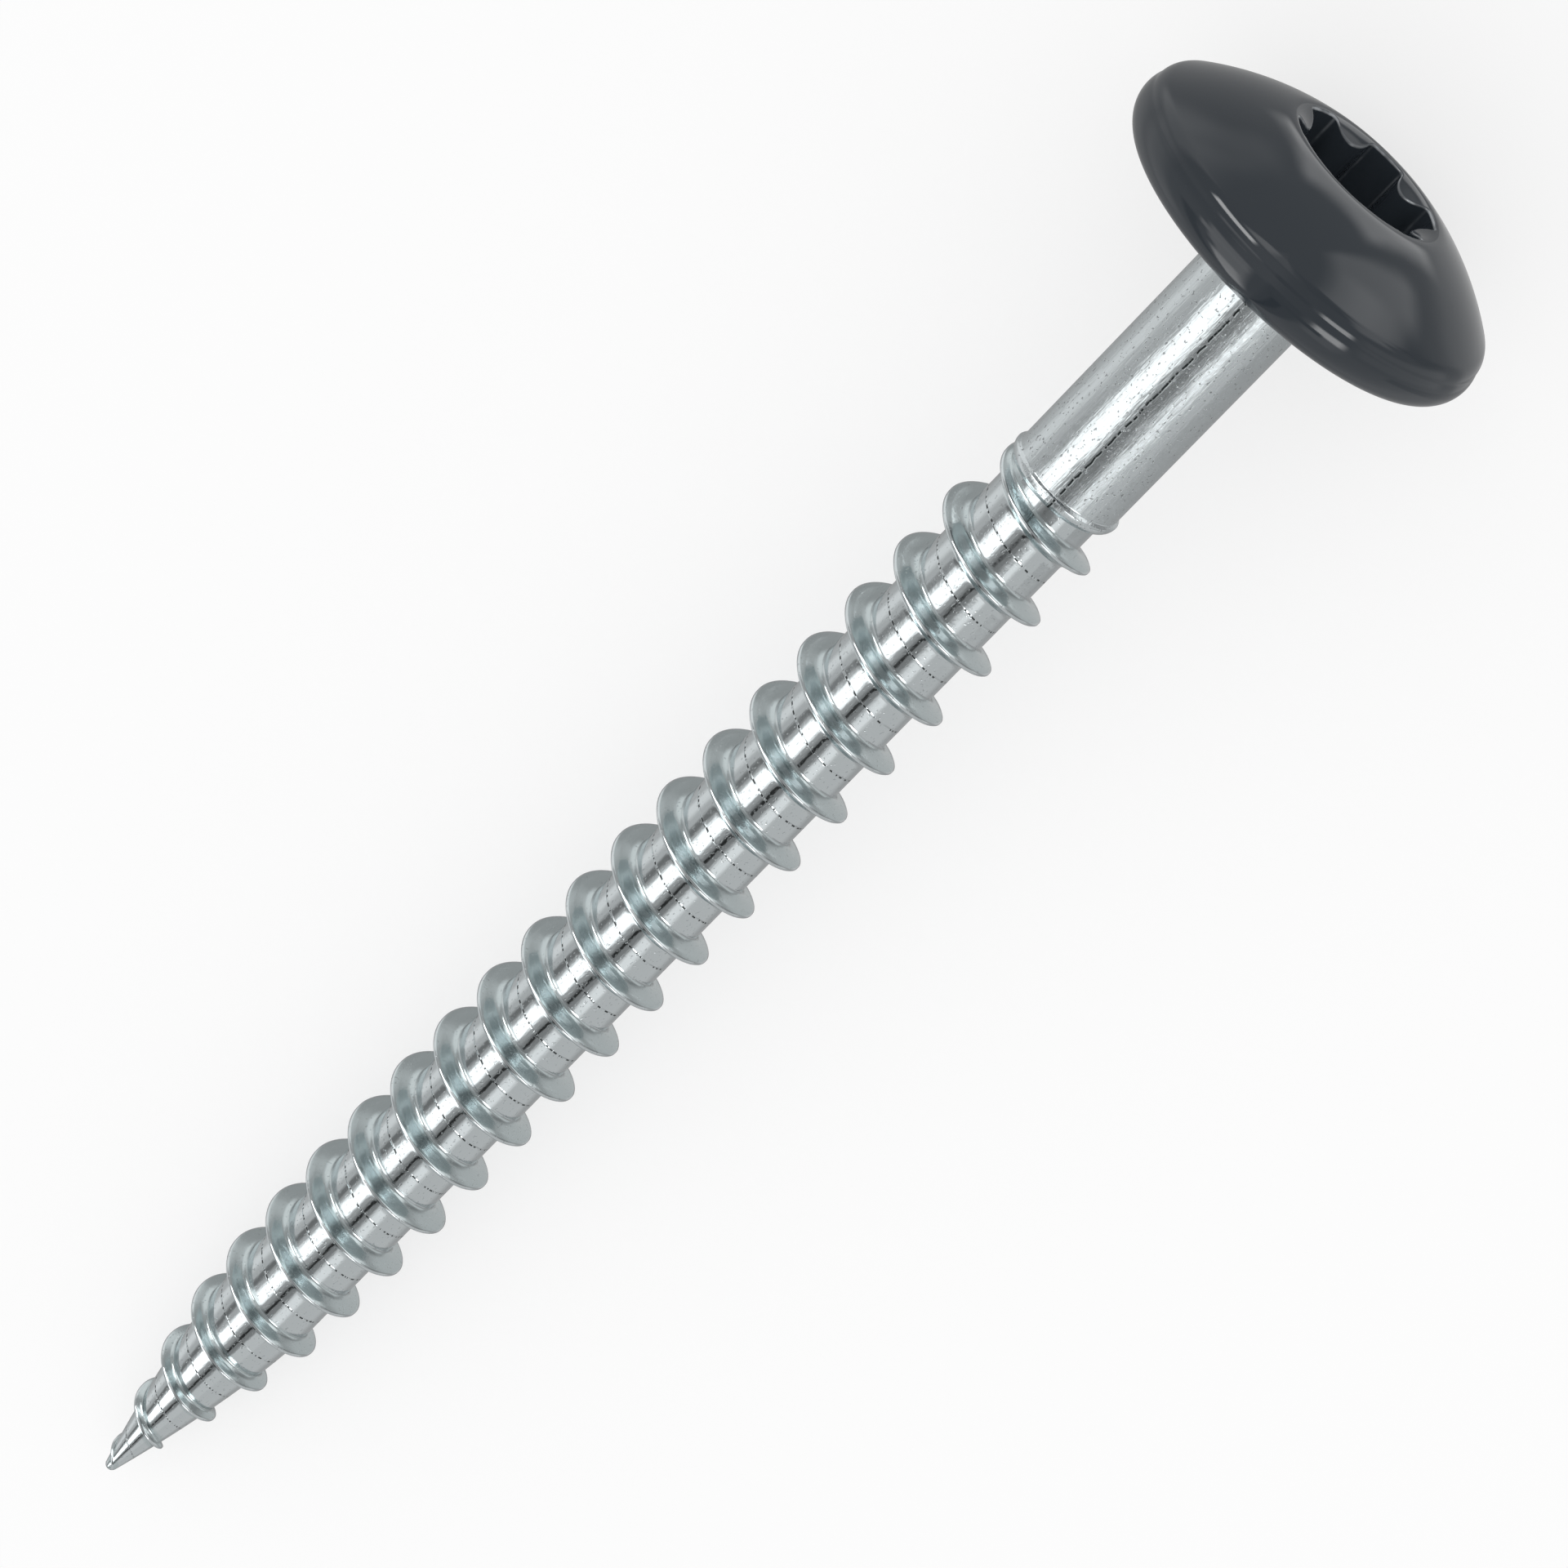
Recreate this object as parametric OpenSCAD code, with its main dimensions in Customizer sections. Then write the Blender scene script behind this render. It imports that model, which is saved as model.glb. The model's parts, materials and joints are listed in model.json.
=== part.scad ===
// Facade screw: a painted pan head with a rolled rim and a lobed recess, a plain shank,
// and a coarse single start wood thread that runs down to a gimlet point.
// The screw lies on its side, as it rests on a table: it touches at the rim of its head and
// at one crest of its thread. The head lies towards +X.

/* [Screw] */
// Length from the head's bearing face to the point
screw_length = 75; // [60:1:120]
// Diameter of the plain shank under the head
shank_diameter = 4.8; // [4.4:0.1:5.2]
// Length of the plain shank, from the bearing face to the rounded lip at its end
shank_length = 12.7; // [9:0.1:22]
// How far the lip stands out past the shank
lip_height = 0.14; // [0.06:0.02:0.2]
// Radius of the fillet between shank and bearing face
neck_radius = 0.35; // [0.2:0.05:0.6]

/* [Head] */
// Diameter over the rolled rim
head_diameter = 16.2; // [13:0.1:20]
// Radius of the rolled rim
rim_radius = 1.25; // [0.9:0.05:1.4]
// Radius of the spherical top
dome_radius = 12.5; // [11:0.1:18]
// Radius of the rounded shoulder between rim and dome
shoulder_radius = 0.86; // [0.6:0.02:1]
// How far the shoulder stands in from the rim
shoulder_inset = 0.12; // [0.08:0.01:0.3]
// Height of the shoulder's centre above the rim's widest line
shoulder_rise = 0.5; // [0.4:0.02:0.7]

/* [Recess] */
// Number of lobes
lobe_count = 6; // [5:1:6]
// Diameter across the lobes
recess_across_lobes = 6.6; // [6:0.05:6.8]
// Diameter across the ribs between the lobes
recess_across_ribs = 5.2; // [4.6:0.05:5.4]
// Radius of the rounded ribs
rib_radius = 0.95; // [0.8:0.05:1.2]
// Radius of the corners between a lobe's wall and the ribs beside it
lobe_corner_radius = 0.3; // [0.15:0.01:0.35]
// Depth of the recess, from its mouth to its floor
recess_depth = 2.9; // [2:0.1:3.1]
// Depth of the cone in the floor
floor_depth = 0.7; // [0.3:0.1:0.9]
// Depth of the countersink that bevels the ribs
countersink_depth = 0.45; // [0.2:0.05:0.7]
// How far the countersink's mouth stands out past the lobes
countersink_margin = 0.08; // [0.04:0.02:0.2]
// Turn of the recess about the screw's axis
recess_turn = 57; // [0:1:59]

/* [Thread] */
// Hand of the thread
thread_hand = "left"; // [left, right]
// Outer diameter of the thread
thread_diameter = 6; // [5.6:0.1:6.6]
// Diameter of the core between the turns
core_diameter = 4.14; // [3.6:0.02:4.3]
// Pitch of the single start thread
thread_pitch = 2.9; // [2.4:0.05:3.4]
// Width of the flat on the crest
crest_width = 0.14; // [0.08:0.02:0.3]
// Slope of the flank that faces the point, off the square across the axis
point_flank_angle = 24; // [15:1:30]
// Slope of the flank that faces the head, off the square across the axis
head_flank_angle = 16; // [10:1:25]
// Length over which the thread grows from the point to its full height
thread_rise_length = 20; // [14:0.5:26]
// Length over which the core grows from the point to its full diameter
core_rise_length = 12; // [9:0.5:15]
// Radius of the point's blunt end
point_radius = 0.1; // [0.05:0.01:0.2]
// Turn of the thread about the screw's axis
thread_turn = 100; // [0:5:355]

/* [Hidden] */

zinc_color = "#b9c0c4";
paint_color = "#4b5054";
round_faces = 96;
overlap = 0.5;
bite = 0.002;

head_radius = head_diameter / 2;
shank_radius = shank_diameter / 2;
thread_radius = thread_diameter / 2;
core_radius = core_diameter / 2;
lobes_radius = recess_across_lobes / 2;
ribs_radius = recess_across_ribs / 2;

// The head's outline, as heights above the bearing face: the dome is tangent to the shoulder
rim_circle = [head_radius - rim_radius, rim_radius];
shoulder_circle = [head_radius - shoulder_inset - shoulder_radius, rim_radius + shoulder_rise];
dome_reach = dome_radius - shoulder_radius;
dome_centre = shoulder_circle[1] - sqrt(pow(dome_reach, 2) - pow(shoulder_circle[0], 2));
dome_foot = [0, dome_centre] + (shoulder_circle - [0, dome_centre]) * dome_radius / dome_reach;
mouth_radius = lobes_radius + countersink_margin;
cone_radius = ribs_radius - 0.1;
cone_rise = 2 * overlap;
countersink_slope = countersink_depth / (mouth_radius - ribs_radius);
mouth_height = dome_centre + sqrt(pow(dome_radius, 2) - pow(mouth_radius, 2));

// The lobes of the recess: a corner arc is tangent to the lobe's wall and to the rib beside it.
// The corner's turn is its angle off the middle of that rib, seen from the screw's axis.
half_share = 180 / lobe_count;
rib_place = ribs_radius + rib_radius;
corner_place = lobes_radius - lobe_corner_radius;
corner_reach = rib_radius + lobe_corner_radius;
corner_turn = acos(
    (pow(rib_place, 2) + pow(corner_place, 2) - pow(corner_reach, 2))
        / (2 * rib_place * corner_place)
);
lobe_half_angle = half_share - corner_turn;
tangent_point = [rib_place, 0]
    + (corner_place * [cos(corner_turn), sin(corner_turn)] - [rib_place, 0])
    * rib_radius / corner_reach;

// The thread is laid out in steps along its helix. The tooth runs out over its last steps. The
// valley behind it starts later to climb to the shank, and both end inside the shank's lip.
// The lip's round starts inside the core, so that no flat ring shows at the shank's end.
turn_steps = 48;
run_out_steps = 32;
valley_climb_steps = 20;
first_crest = 0.45;
tooth_start_share = 0.07;
core_growth = 1.5;
tooth_growth = 1.6;
foot_width = 0.03;
lip_bite = 0.03;
lip_radius = shank_radius + lip_height - core_radius + lip_bite;
shank_start = screw_length - shank_length;
end_step = floor((shank_start + lip_radius / 2 - first_crest) / thread_pitch * turn_steps);
run_out_step = end_step - run_out_steps;
last_step = end_step + 6;
skin = 0.012;
valley_end_radius = shank_radius - skin;
crest_end_radius = shank_radius + lip_height / 2;
hand_sign = thread_hand == "left" ? -1 : 1;

// Share of a growth that is done at x along the axis, steep at the point and level at its end
function growth(x, length, power) = 1 - pow(1 - min(1, max(0, x / length)), power);

// Share of a change that is done at a step, with a smooth start and end
function climb(step, from, steps) =
    let (t = min(1, max(0, (step - from) / steps)))
    t * t * (3 - 2 * t);

function crest_place(step) = first_crest + thread_pitch * step / turn_steps;

function core_at(x) =
    point_radius + (core_radius - point_radius) * growth(x, core_rise_length, core_growth);

// Radius of the valley behind the tooth, on the side of the head
function valley_at(step, x) =
    core_at(x) + (valley_end_radius - core_at(x))
        * climb(step, end_step - valley_climb_steps, valley_climb_steps);

function tooth_at(x) =
    let (share = growth(x, thread_rise_length, tooth_growth))
    (thread_radius - core_radius) * (tooth_start_share + (1 - tooth_start_share) * share);

function crest_at(step) =
    let (x = crest_place(step))
    let (full = core_at(x) + tooth_at(x))
    full + (crest_end_radius - full) * climb(step, run_out_step, run_out_steps);

// The tooth's section at a step: foot, two crest edges and foot, as place and radius
function tooth_section(step) =
    let (x = crest_place(step), top = crest_at(step))
    let (front = valley_at(step - turn_steps, x), back = valley_at(step, x))
    let (front_run = foot_width + max(0, top - front) * tan(point_flank_angle))
    let (back_run = foot_width + max(0, top - back) * tan(head_flank_angle))
    [
        [x - crest_width / 2 - front_run, front],
        [x - crest_width / 2, top],
        [x + crest_width / 2, top],
        [x + crest_width / 2 + back_run, back]
    ];
section_size = 4;

function on_helix(station, step) =
    let (angle = thread_turn + hand_sign * 360 * step / turn_steps)
    [station[0], station[1] * cos(angle), station[1] * sin(angle)];

// A face of the thread, wound the way that its hand needs
function outward(face) =
    hand_sign > 0 ? face : [for (i = [len(face) - 1 : -1 : 0]) face[i]];

// Number of a vertex: past the last foot of a section comes the first foot one turn later
function vertex(step, place) =
    place == section_size ? vertex(step + turn_steps, 0)
    : step <= last_step ? step * section_size + place
    : (last_step + 1) * section_size + step - last_step - 1;

// Lying pose: the axis falls towards the point until the first crest meets the table
bottom_step = hand_sign * turn_steps * (270 - thread_turn) / 360;
bottom_steps = [
    for (step = [bottom_step - turn_steps : turn_steps : run_out_step])
        if (step > 0) step
];
function lying_slope(step) =
    let (along = rim_place - crest_place(step), across = rim_circle[0] - crest_at(step))
    atan2(across, along) + asin(rim_radius / norm([along, across]));
rim_place = screw_length + rim_radius;
slope = min([for (step = bottom_steps) lying_slope(step)]);
lift = rim_radius + rim_circle[0] * cos(slope) - rim_place * sin(slope);
far_end = (screw_length + mouth_height) * cos(slope) + mouth_radius * sin(slope);

// Outline of the head, turned about the axis
module head_outline() {
    translate(rim_circle)
        circle(r = rim_radius, $fn = round_faces);
    translate(shoulder_circle)
        circle(r = shoulder_radius, $fn = round_faces);
    polygon([
        [0, 0],
        [rim_circle[0], 0],
        rim_circle,
        shoulder_circle,
        dome_foot,
        [0, dome_foot[1]]
    ]);
    intersection() {
        translate([0, dome_centre])
            circle(r = dome_radius, $fn = 4 * round_faces);
        translate([0, dome_foot[1] - overlap / 10])
            square([dome_foot[0], dome_radius]);
    }
}

// Outline of the fillet where the shank meets the bearing face
module neck_outline() {
    difference() {
        translate([0, -neck_radius])
            square([shank_radius + neck_radius, neck_radius + overlap]);
        translate([shank_radius + neck_radius, -neck_radius])
            circle(r = neck_radius, $fn = round_faces);
    }
}

// Outline of the shank, with the lip at its end
module shank_outline() {
    lip_centre = [shank_radius + lip_height - lip_radius, lip_radius - shank_length];
    translate([0, lip_centre[1]])
        square([shank_radius, overlap - lip_centre[1]]);
    translate([0, -shank_length])
        square([lip_centre[0], 2 * lip_radius]);
    translate(lip_centre)
        circle(r = lip_radius, $fn = round_faces);
}

module lobe_outline() {
    reach = 2 * lobes_radius;
    intersection() {
        circle(r = lobes_radius, $fn = 4 * round_faces);
        polygon([
            [0, 0],
            reach * [cos(lobe_half_angle), -sin(lobe_half_angle)],
            reach * [cos(lobe_half_angle), sin(lobe_half_angle)]
        ]);
    }
    for (side = [-1, 1])
        rotate(side * lobe_half_angle)
            translate([corner_place, 0])
                circle(r = lobe_corner_radius + bite, $fn = round_faces);
}

module recess_outline() {
    difference() {
        circle(r = norm(tangent_point), $fn = round_faces);
        for (i = [0 : lobe_count - 1])
            rotate((i + 0.5) * 2 * half_share)
                translate([rib_place, 0])
                    circle(r = rib_radius, $fn = round_faces);
    }
    for (i = [0 : lobe_count - 1])
        rotate(i * 2 * half_share)
            lobe_outline();
}

// The driver's recess, with its countersunk mouth at height 0
module recess() {
    translate([0, 0, -recess_depth])
        linear_extrude(recess_depth + dome_radius)
            recess_outline();
    translate([0, 0, -recess_depth - floor_depth])
        cylinder(h = floor_depth, r1 = 0, r2 = cone_radius, $fn = round_faces);
    translate([0, 0, -countersink_slope * (mouth_radius - cone_radius)])
        cylinder(h = countersink_slope * (mouth_radius - cone_radius) + cone_rise, r1 = cone_radius,
            r2 = mouth_radius + cone_rise / countersink_slope, $fn = 2 * round_faces);
}

module head() {
    color(paint_color)
        translate([screw_length, 0, 0])
            rotate([0, 90, 0])
                difference() {
                    rotate_extrude($fn = 2 * round_faces)
                        head_outline();
                    translate([0, 0, mouth_height])
                        rotate(recess_turn)
                            recess();
                }
}

module shank() {
    color(zinc_color)
        translate([screw_length, 0, 0])
            rotate([0, 90, 0])
                rotate_extrude($fn = round_faces) {
                    neck_outline();
                    shank_outline();
                }
}

// Threaded core and gimlet point, as one skin that winds from the point into the shank
module thread() {
    tip = (last_step + 1) * section_size + turn_steps;
    buried_end = tip + 1;
    sections = [for (step = [0 : last_step]) for (station = tooth_section(step)) on_helix(station, step)];
    last_turn = [
        for (step = [last_step + 1 : last_step + turn_steps])
            on_helix(tooth_section(step)[0], step)
    ];
    ends = [[0, 0, 0], [crest_place(last_step + turn_steps / 2), 0, 0]];
    skin_faces = [
        for (step = [0 : last_step - 1])
            for (place = [0 : section_size - 1])
                for (face = [
                    [[step, place], [step, place + 1], [step + 1, place + 1]],
                    [[step, place], [step + 1, place + 1], [step + 1, place]]
                ])
                    [for (corner = face) vertex(corner[0], corner[1])]
    ];
    tip_faces = [
        for (step = [0 : turn_steps - 1])
            [vertex(step, 0), vertex(step + 1, 0), tip]
    ];
    end_faces = [
        for (step = [last_step : last_step + turn_steps - 1])
            [vertex(step + 1, 0), vertex(step, 0), buried_end]
    ];
    tip_wall = [
        [for (place = [section_size - 1 : -1 : 0]) vertex(0, place)],
        [vertex(0, section_size - 1), vertex(0, 0), tip],
        [vertex(0, section_size), vertex(0, section_size - 1), tip]
    ];
    end_wall = [
        for (place = [0 : section_size - 1])
            [vertex(last_step, place), vertex(last_step, place + 1), buried_end]
    ];
    color(zinc_color)
        polyhedron(
            points = concat(sections, last_turn, ends),
            faces = [
                for (face = concat(skin_faces, tip_faces, tip_wall, end_faces, end_wall))
                    outward(face)
            ],
            convexity = 10
        );
}

module facade_screw() {
    translate([-far_end / 2, 0, lift])
        rotate([0, -slope, 0]) {
            head();
            shank();
            thread();
        }
}

facade_screw();
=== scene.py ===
import json
import math

import bpy
import numpy as np
from mathutils import Matrix, Vector


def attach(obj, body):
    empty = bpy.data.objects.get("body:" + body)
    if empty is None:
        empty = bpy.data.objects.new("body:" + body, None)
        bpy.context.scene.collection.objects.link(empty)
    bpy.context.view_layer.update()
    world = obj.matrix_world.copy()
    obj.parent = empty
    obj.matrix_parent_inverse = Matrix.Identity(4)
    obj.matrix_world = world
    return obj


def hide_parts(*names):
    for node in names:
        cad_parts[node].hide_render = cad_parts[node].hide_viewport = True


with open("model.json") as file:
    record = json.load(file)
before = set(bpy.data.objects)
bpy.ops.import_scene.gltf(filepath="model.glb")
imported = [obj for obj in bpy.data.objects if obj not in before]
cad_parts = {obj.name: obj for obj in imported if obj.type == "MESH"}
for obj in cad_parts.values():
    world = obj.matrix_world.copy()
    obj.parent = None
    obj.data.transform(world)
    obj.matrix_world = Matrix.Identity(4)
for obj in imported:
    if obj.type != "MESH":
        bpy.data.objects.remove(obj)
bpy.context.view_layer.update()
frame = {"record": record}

MM = 0.001

# Sizes of the screw, in millimetres and degrees, as in the part's source; only the point is blunter
SCREW_LENGTH = 75.0
SHANK_RADIUS = 2.4
SHANK_LENGTH = 12.7
NECK_RADIUS = 0.35
LIP_RADIUS = 0.5
LIP_HEIGHT = 0.14

HEAD_RADIUS = 8.1
RIM_RADIUS = 1.25
DOME_RADIUS = 12.5
SHOULDER_RADIUS = 0.86
SHOULDER_INSET = 0.12
SHOULDER_RISE = 0.5

LOBE_COUNT = 6
LOBES_RADIUS = 3.3
RIBS_RADIUS = 2.6
RIB_RADIUS = 0.95
LOBE_CORNER_RADIUS = 0.3
RECESS_DEPTH = 2.9
FLOOR_DEPTH = 0.7
FLOOR_MARGIN = 0.1
COUNTERSINK_DEPTH = 0.45
COUNTERSINK_MARGIN = 0.08
RECESS_TURN = 57.0

THREAD_RADIUS = 3.0
CORE_RADIUS = 2.07
THREAD_PITCH = 2.9
CREST_WIDTH = 0.14
POINT_FLANK_ANGLE = 24.0
HEAD_FLANK_ANGLE = 16.0
THREAD_RISE_LENGTH = 20.0
CORE_RISE_LENGTH = 12.0
POINT_RADIUS = 0.22
THREAD_TURN = 100.0
FIRST_CREST = 0.45
TOOTH_START_SHARE = 0.07
CORE_GROWTH = 1.5
TOOTH_GROWTH = 1.6
RUN_OUT_TURNS = 32 / 48
VALLEY_CLIMB_TURNS = 20 / 48

# Roundings that only the visible surface has, in millimetres, and turns over which its tooth starts
LIP_FADE = 0.18
CREASE_SOFTNESS = 0.03
MOUTH_SOFTNESS = 0.6
MOUTH_SOFT_REACH = 0.75
EDGE_RADIUS = 0.14
CREST_ROUNDING = 0.04
FOOT_ROUNDING = 0.45
LEAST_FOOT_ROUNDING = 0.001
FULL_FOOT_HEIGHT = 0.7
TOOTH_START_TURNS = 0.3

# How far the visible surface stays inside the part's, and how far a row that keeps a face's shading
# straight lies from the bend beside it, in millimetres
INSET = 0.004
SUPPORT = 0.04


def dome_centre():
    """Height of the dome's centre above the bearing face."""
    shoulder_place = HEAD_RADIUS - SHOULDER_INSET - SHOULDER_RADIUS
    reach_to_shoulder = DOME_RADIUS - SHOULDER_RADIUS
    return RIM_RADIUS + SHOULDER_RISE - math.sqrt(reach_to_shoulder ** 2 - shoulder_place ** 2)


def mouth_height():
    """Height of the recess's mouth above the bearing face."""
    return dome_centre() + math.sqrt(DOME_RADIUS ** 2 - (LOBES_RADIUS + COUNTERSINK_MARGIN) ** 2)


# The screw's own frame: x along the axis from the point, y across, z square to both and upwards
mounts = {mount["name"]: mount for mount in frame["record"]["mounts"]}
axis = Vector(mounts["drive_recess"]["axis"])
across = Vector((0, 1, 0))
upright = axis.cross(across)
recess_mouth = Vector(mounts["drive_recess"]["pos_m"])
point_place = recess_mouth - (SCREW_LENGTH + mouth_height()) * MM * axis
screw_frame = Matrix.Translation(point_place) @ Matrix((axis, across, upright)).transposed().to_4x4()
screw_frame = screw_frame @ Matrix.Scale(MM, 4)


class Value:
    """A value in a node tree, so that a rule can be written as plain arithmetic."""

    def __init__(self, tree, socket):
        self.tree = tree
        self.socket = socket

    def calculate(self, operation, *others, clamp=False):
        node = self.tree.nodes.new("ShaderNodeMath")
        node.operation = operation
        node.use_clamp = clamp
        for place, value in enumerate((self,) + others):
            put(self.tree, value, node.inputs[place])
        return Value(self.tree, node.outputs[0])

    def __add__(self, other):
        return self.calculate("ADD", other)

    __radd__ = __add__

    def __sub__(self, other):
        return self.calculate("SUBTRACT", other)

    def __rsub__(self, other):
        return (self * -1.0) + other

    def __mul__(self, other):
        return self.calculate("MULTIPLY", other)

    __rmul__ = __mul__

    def __truediv__(self, other):
        return self.calculate("DIVIDE", other)

    def __pow__(self, other):
        return self.calculate("POWER", other)

    def clamped(self):
        return self.calculate("ADD", 0.0, clamp=True)

    def smooth_step(self):
        share = self.clamped()
        return share * share * (3.0 - 2.0 * share)


def put(tree, value, socket):
    """Links a value to a socket, or writes a plain number there."""
    if isinstance(value, Value):
        tree.links.new(value.socket, socket)
    else:
        socket.default_value = value


def mixed(low, high, share):
    """The value that lies a share of the way from low to high."""
    return low + (high - low) * share


def above(value, limit, soft):
    """Share by which a value is over a limit, with a soft step."""
    return ((value - limit) / soft + 0.5).smooth_step()


# Threaded core, point and shank

def growth(x, length, power):
    """Share of a growth that is done at x along the axis, as in the part's source."""
    return 1.0 - (1.0 - (x / length).clamped()) ** power


class ThreadRule:
    """The radius of the thread's surface, as a rule of the place along and around the axis."""

    def __init__(self, sizes):
        self.sizes = sizes

    def core_at(self, x):
        share = growth(x, self.sizes["Core rise length"], CORE_GROWTH)
        return mixed(self.sizes["Point radius"], self.sizes["Core radius"], share)

    def valley_at(self, turn, x):
        """The core, which climbs to the shank over the last part of a turn."""
        climb = ((turn - self.sizes["Last turn"]) / VALLEY_CLIMB_TURNS + 1.0).smooth_step()
        return mixed(self.core_at(x), self.sizes["Shank radius"], climb)

    def crest_place(self, turn):
        return turn * self.sizes["Pitch"] + FIRST_CREST

    def crest_at(self, turn):
        """The crest, which rises from the point and falls to the lip where the thread runs out."""
        sizes = self.sizes
        x = self.crest_place(turn)
        rise = mixed(TOOTH_START_SHARE, 1, growth(x, sizes["Thread rise length"], TOOTH_GROWTH))
        start = (turn / TOOTH_START_TURNS).smooth_step()
        full = self.core_at(x) + (sizes["Thread radius"] - sizes["Core radius"]) * rise * start
        fall = ((turn - sizes["Last turn"]) / RUN_OUT_TURNS + 1.0).smooth_step()
        return mixed(full, SHANK_RADIUS + LIP_HEIGHT / 2, fall)

    def flank(self, crest, distance, angle):
        """A flank at a distance from the middle of its crest, with the crest's edge rounded."""
        slope = 1.0 / math.tan(math.radians(angle))
        line = crest - (distance - CREST_WIDTH / 2) * slope
        return line.calculate("SMOOTH_MIN", crest, CREST_ROUNDING)


def thread_sizes():
    """The named inputs of the thread's tree, in millimetres and turns."""
    end_place = SCREW_LENGTH - SHANK_LENGTH + LIP_RADIUS / 2
    return {
        "Pitch": THREAD_PITCH,
        "Thread radius": THREAD_RADIUS - 2 * INSET,
        "Core radius": CORE_RADIUS,
        "Shank radius": SHANK_RADIUS,
        "Point radius": POINT_RADIUS,
        "Thread rise length": THREAD_RISE_LENGTH,
        "Core rise length": CORE_RISE_LENGTH,
        "Last turn": (end_place - FIRST_CREST) / THREAD_PITCH,
    }


WELD_DISTANCE = 1e-4


def threaded_shank_tree(sizes, material):
    """Builds the node tree: a grid wound into the thread, and a second one turned into the shank."""
    tree = bpy.data.node_groups.new("threaded_shank_rule", "GeometryNodeTree")
    tree.interface.new_socket("Geometry", in_out="OUTPUT", socket_type="NodeSocketGeometry")
    for name in sizes:
        tree.interface.new_socket(name, in_out="INPUT", socket_type="NodeSocketFloat")
    given = tree.nodes.new("NodeGroupInput")
    values = {name: Value(tree, given.outputs[name]) for name in sizes}
    thread = wound_thread(tree, ThreadRule(values))
    shank = turned_shank(tree, values)
    join = tree.nodes.new("GeometryNodeJoinGeometry")
    tree.links.new(thread, join.inputs["Geometry"])
    tree.links.new(shank, join.inputs["Geometry"])
    weld = tree.nodes.new("GeometryNodeMergeByDistance")
    weld.inputs["Distance"].default_value = WELD_DISTANCE
    outwards = tree.nodes.new("GeometryNodeFlipFaces")
    smooth = tree.nodes.new("GeometryNodeSetShadeSmooth")
    realize = tree.nodes.new("GeometryNodeRealizeInstances")
    finish = tree.nodes.new("GeometryNodeSetMaterial")
    finish.inputs["Material"].default_value = material
    result = tree.nodes.new("NodeGroupOutput")
    chain = [join, weld, outwards, smooth, realize, finish, result]
    for before, after in zip(chain, chain[1:]):
        tree.links.new(before.outputs[0], after.inputs[0])
    return tree


def grid_places(tree, rows, columns):
    """A flat grid, with the row and column numbers of its vertices."""
    grid = tree.nodes.new("GeometryNodeMeshGrid")
    grid.inputs["Size X"].default_value = rows - 1
    grid.inputs["Size Y"].default_value = columns - 1
    grid.inputs["Vertices X"].default_value = rows
    grid.inputs["Vertices Y"].default_value = columns
    place = tree.nodes.new("GeometryNodeInputPosition")
    split = tree.nodes.new("ShaderNodeSeparateXYZ")
    tree.links.new(place.outputs[0], split.inputs[0])
    row = (Value(tree, split.outputs[0]) + (rows - 1) / 2).calculate("ROUND")
    column = (Value(tree, split.outputs[1]) + (columns - 1) / 2).calculate("ROUND")
    return grid.outputs["Mesh"], row, column


def placed(tree, mesh, x, radius, angle, map_along, map_across):
    """Writes the map of the surface and puts each vertex at its place around the axis."""
    together = tree.nodes.new("ShaderNodeCombineXYZ")
    put(tree, map_along, together.inputs[0])
    put(tree, map_across, together.inputs[1])
    store = tree.nodes.new("GeometryNodeStoreNamedAttribute")
    store.data_type = "FLOAT2"
    store.domain = "CORNER"
    store.inputs["Name"].default_value = "surface"
    tree.links.new(mesh, store.inputs["Geometry"])
    tree.links.new(together.outputs[0], store.inputs["Value"])
    position = tree.nodes.new("ShaderNodeCombineXYZ")
    put(tree, x, position.inputs[0])
    put(tree, radius * angle.calculate("COSINE"), position.inputs[1])
    put(tree, radius * angle.calculate("SINE"), position.inputs[2])
    move = tree.nodes.new("GeometryNodeSetPosition")
    tree.links.new(store.outputs["Geometry"], move.inputs["Geometry"])
    tree.links.new(position.outputs[0], move.inputs["Position"])
    return move.outputs["Geometry"]


THREAD_STEPS = 96
THREAD_COLUMNS = 28
THREAD_TURNS = 24
TURNS_BEFORE_FIRST_CREST = 1.25
COLUMN_GATHERING = 0.72
THREAD_END_MARGIN = 0.9
BURYING_LENGTH = 0.4
BURIED_RADIUS = 2.2


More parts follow.
